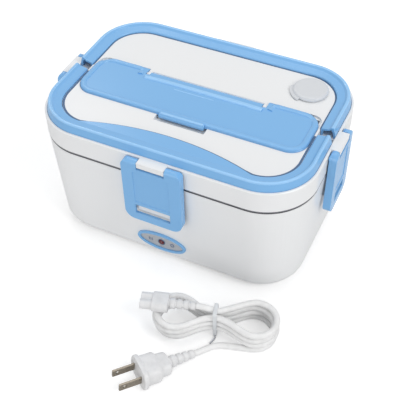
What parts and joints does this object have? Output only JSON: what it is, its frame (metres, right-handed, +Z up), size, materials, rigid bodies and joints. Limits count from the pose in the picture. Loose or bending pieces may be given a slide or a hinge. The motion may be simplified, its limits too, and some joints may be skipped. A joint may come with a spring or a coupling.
{
  "type": "electric lunch box",
  "caption": "Rounded portable food warmer with a lift-off lid held by side latches, a folding handle, a cutlery compartment under a hinged cover and a removable steel tray.",
  "frame": {"origin": "centre of the underside, on the table surface under the feet", "axes": "+X along the long side towards the end with the steam vent, +Y towards the rear with the power inlet, +Z up"},
  "size_m": [0.236, 0.2814, 0.1183],
  "materials": {
    "white_plastic": "smooth, satin gloss",
    "blue_plastic": "smooth, glossy light blue",
    "grey_plastic": "smooth, matt",
    "stainless": "brushed",
    "zinc_steel": "plain zinc plated",
    "aluminium_plate": "rolled, matt",
    "heater_body": "anodised",
    "red_silicone": "matt silicone",
    "clear_silicone": "translucent silicone",
    "grey_silicone": "satin silicone",
    "dark_rubber": "matt",
    "mica": "layered sheet",
    "thermostat_case": "moulded",
    "fuse_case": "glazed",
    "wire_insulation": "glossy insulation",
    "circuit_board": "solder mask",
    "silver_plastic": "metallic film",
    "lens_red": "clear moulded",
    "pin_brass": "plated",
    "cord_white": "smooth insulation",
    "plug_grey": "moulded"
  },
  "bodies": {
    "base": {"outer_shell": "white_plastic", "inner_liner": "grey_plastic", "bottom_cover": "white_plastic", "cover_screws": "zinc_steel", "rubber_feet": "dark_rubber", "heating_plate": "aluminium_plate", "plate_seal": "red_silicone", "ptc_heaters": "heater_body", "mica_sheets": "mica", "heater_clamp": "zinc_steel", "clamp_screws": "zinc_steel", "thermostat": "thermostat_case", "thermal_fuse": "fuse_case", "inner_wiring": "wire_insulation", "led_board": "circuit_board", "indicator_bezel": "blue_plastic", "indicator_plate": "silver_plastic", "indicator_lens": "lens_red", "inlet_socket": "white_plastic", "inlet_pins": "pin_brass", "inlet_cover_pin": "zinc_steel", "cord_hank": "cord_white", "lead_to_plug": "cord_white", "lead_to_connector": "cord_white", "plug_body": "plug_grey", "plug_blades": "pin_brass", "cord_connector": "plug_grey", "twist_tie": "grey_silicone"},
    "tray": {"steel_tray": "stainless"},
    "lid": {"lid_outer": "white_plastic", "lid_inner": "grey_plastic", "lid_gasket": "clear_silicone", "rear_trim": "blue_plastic", "latch_pins": "zinc_steel", "handle_pins": "zinc_steel", "cutlery_hinge_pin": "zinc_steel", "spoon": "white_plastic"},
    "latch_front": {"latch_front": "blue_plastic"},
    "latch_rear": {"latch_rear": "blue_plastic"},
    "latch_left": {"latch_left": "blue_plastic"},
    "latch_right": {"latch_right": "blue_plastic"},
    "handle": {"handle": "blue_plastic"},
    "cutlery_cover": {"cutlery_cover": "blue_plastic"},
    "vent_plug": {"vent_plug": "grey_silicone"},
    "inlet_cover": {"inlet_cover": "white_plastic"}
  },
  "joints": [
    {"name": "tray_lift", "type": "slide", "parent": "base", "child": "tray", "axis": [0, 0, 1], "range_m": [0, 0.07]},
    {"name": "lid_lift", "type": "slide", "parent": "tray", "child": "lid", "axis": [0, 0, 1], "range_m": [0, 0.1]},
    {"name": "latch_front_swing", "type": "hinge", "parent": "lid", "child": "latch_front", "pos_m": [0, -0.0797, 0.1083], "axis": [-1, 0, 0], "range_deg": [-2.4, 110]},
    {"name": "latch_rear_swing", "type": "hinge", "parent": "lid", "child": "latch_rear", "pos_m": [0, 0.0797, 0.1083], "axis": [1, 0, 0], "range_deg": [-2.4, 110]},
    {"name": "latch_left_swing", "type": "hinge", "parent": "lid", "child": "latch_left", "pos_m": [-0.1147, 0, 0.1083], "axis": [0, 1, 0], "range_deg": [-2.4, 110]},
    {"name": "latch_right_swing", "type": "hinge", "parent": "lid", "child": "latch_right", "pos_m": [0.1147, 0, 0.1083], "axis": [0, -1, 0], "range_deg": [-2.4, 110]},
    {"name": "handle_swing", "type": "hinge", "parent": "lid", "child": "handle", "pos_m": [0, -0.0085, 0.1089], "axis": [-1, 0, 0], "range_deg": [0, 90]},
    {"name": "cutlery_cover_swing", "type": "hinge", "parent": "lid", "child": "cutlery_cover", "pos_m": [0, 0.0114, 0.1123], "axis": [-1, 0, 0], "range_deg": [0, 110]},
    {"name": "vent_lift", "type": "slide", "parent": "lid", "child": "vent_plug", "axis": [0, 0, 1], "range_m": [0, 0.005]},
    {"name": "inlet_cover_swing", "type": "hinge", "parent": "base", "child": "inlet_cover", "pos_m": [0, 0.07588, 0.02531], "axis": [1, 0, 0], "range_deg": [0, 100]}
  ]
}
